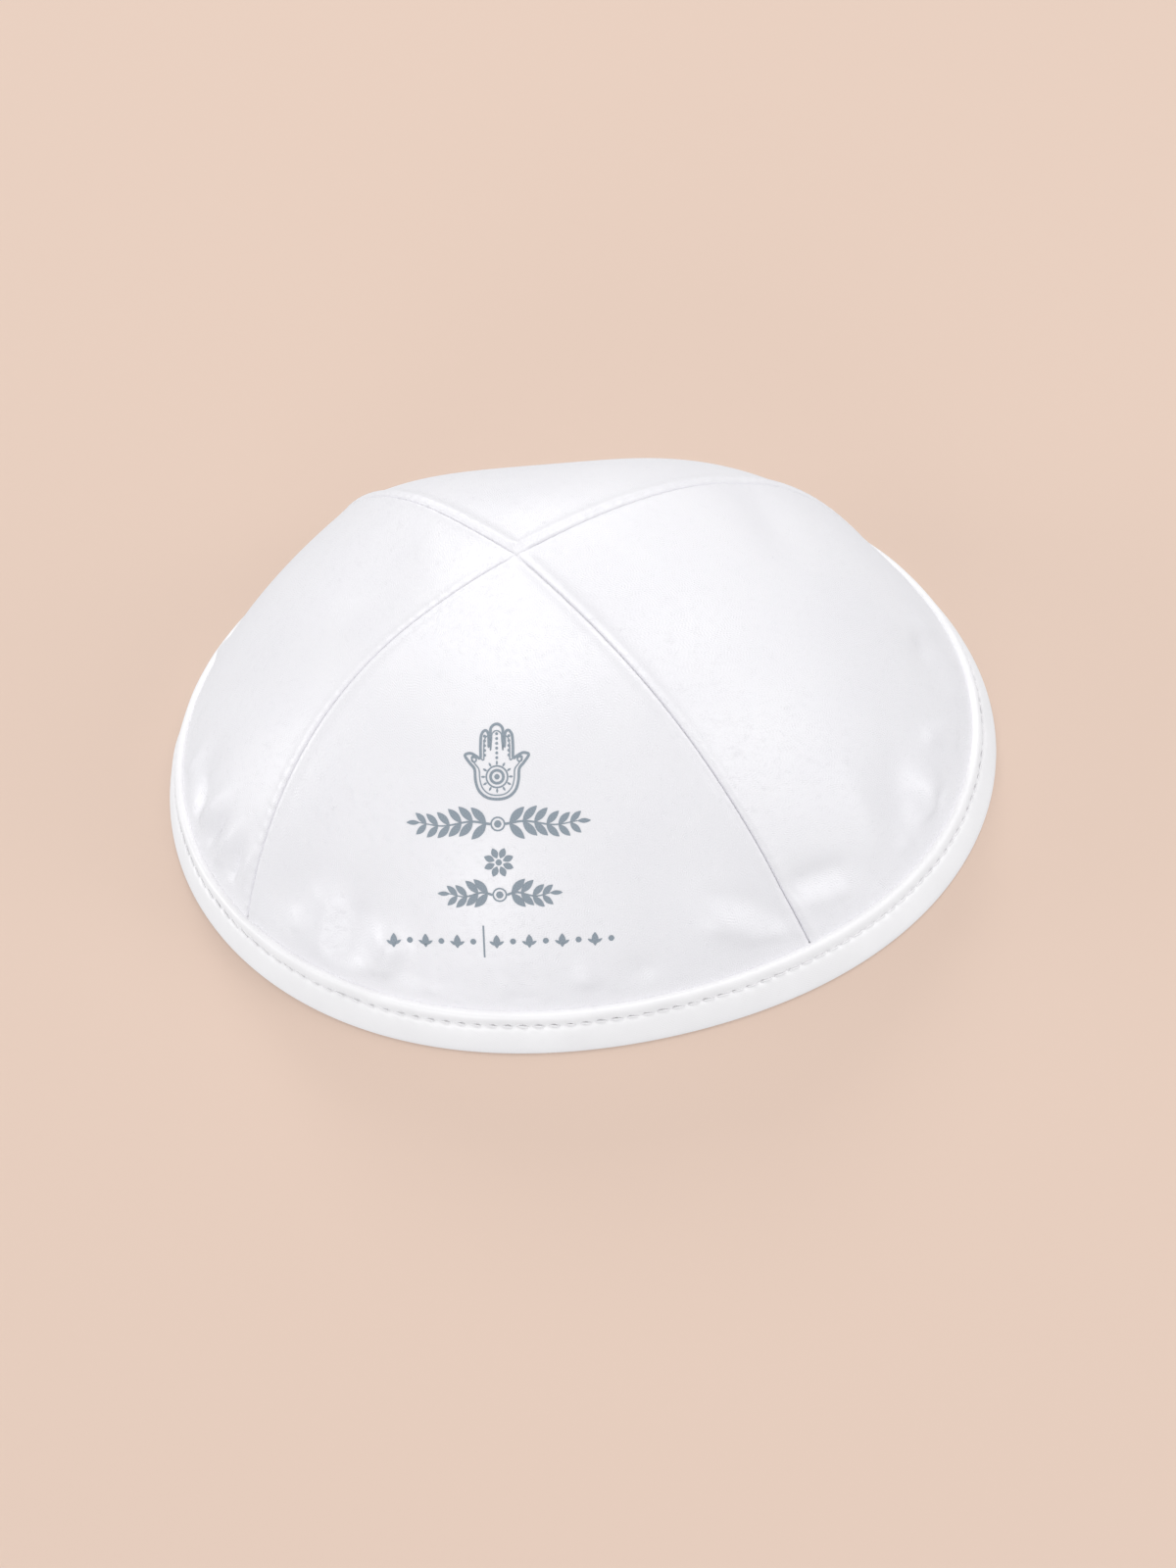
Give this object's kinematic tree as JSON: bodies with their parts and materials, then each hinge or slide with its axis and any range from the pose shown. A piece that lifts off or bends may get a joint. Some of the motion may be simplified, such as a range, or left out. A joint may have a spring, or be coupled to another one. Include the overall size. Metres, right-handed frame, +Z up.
{
  "type": "kippah skullcap",
  "caption": "Brimless round cap of satin panels sewn along seams that cross at the top, its rim bound in a folded strip; hollow inside, it rests on its rim.",
  "frame": {"origin": "middle of the rim, on the plane that the rim rests on", "axes": "+Z up through the crown, +X to the right and along the rim's longer way, -Y towards the front panel"},
  "size_m": [0.1912, 0.1644, 0.0657],
  "materials": {
    "satin": "white crepe-backed satin, soft sheen, with a blue-grey print on the front panel",
    "binding": "white satin strip folded over the rim, puffy folded edge, one row of stitches"
  },
  "bodies": {
    "root": {"panel_right": "satin", "panel_back": "satin", "panel_left": "satin", "panel_front": "satin", "rim_band": "binding"}
  },
  "joints": []
}
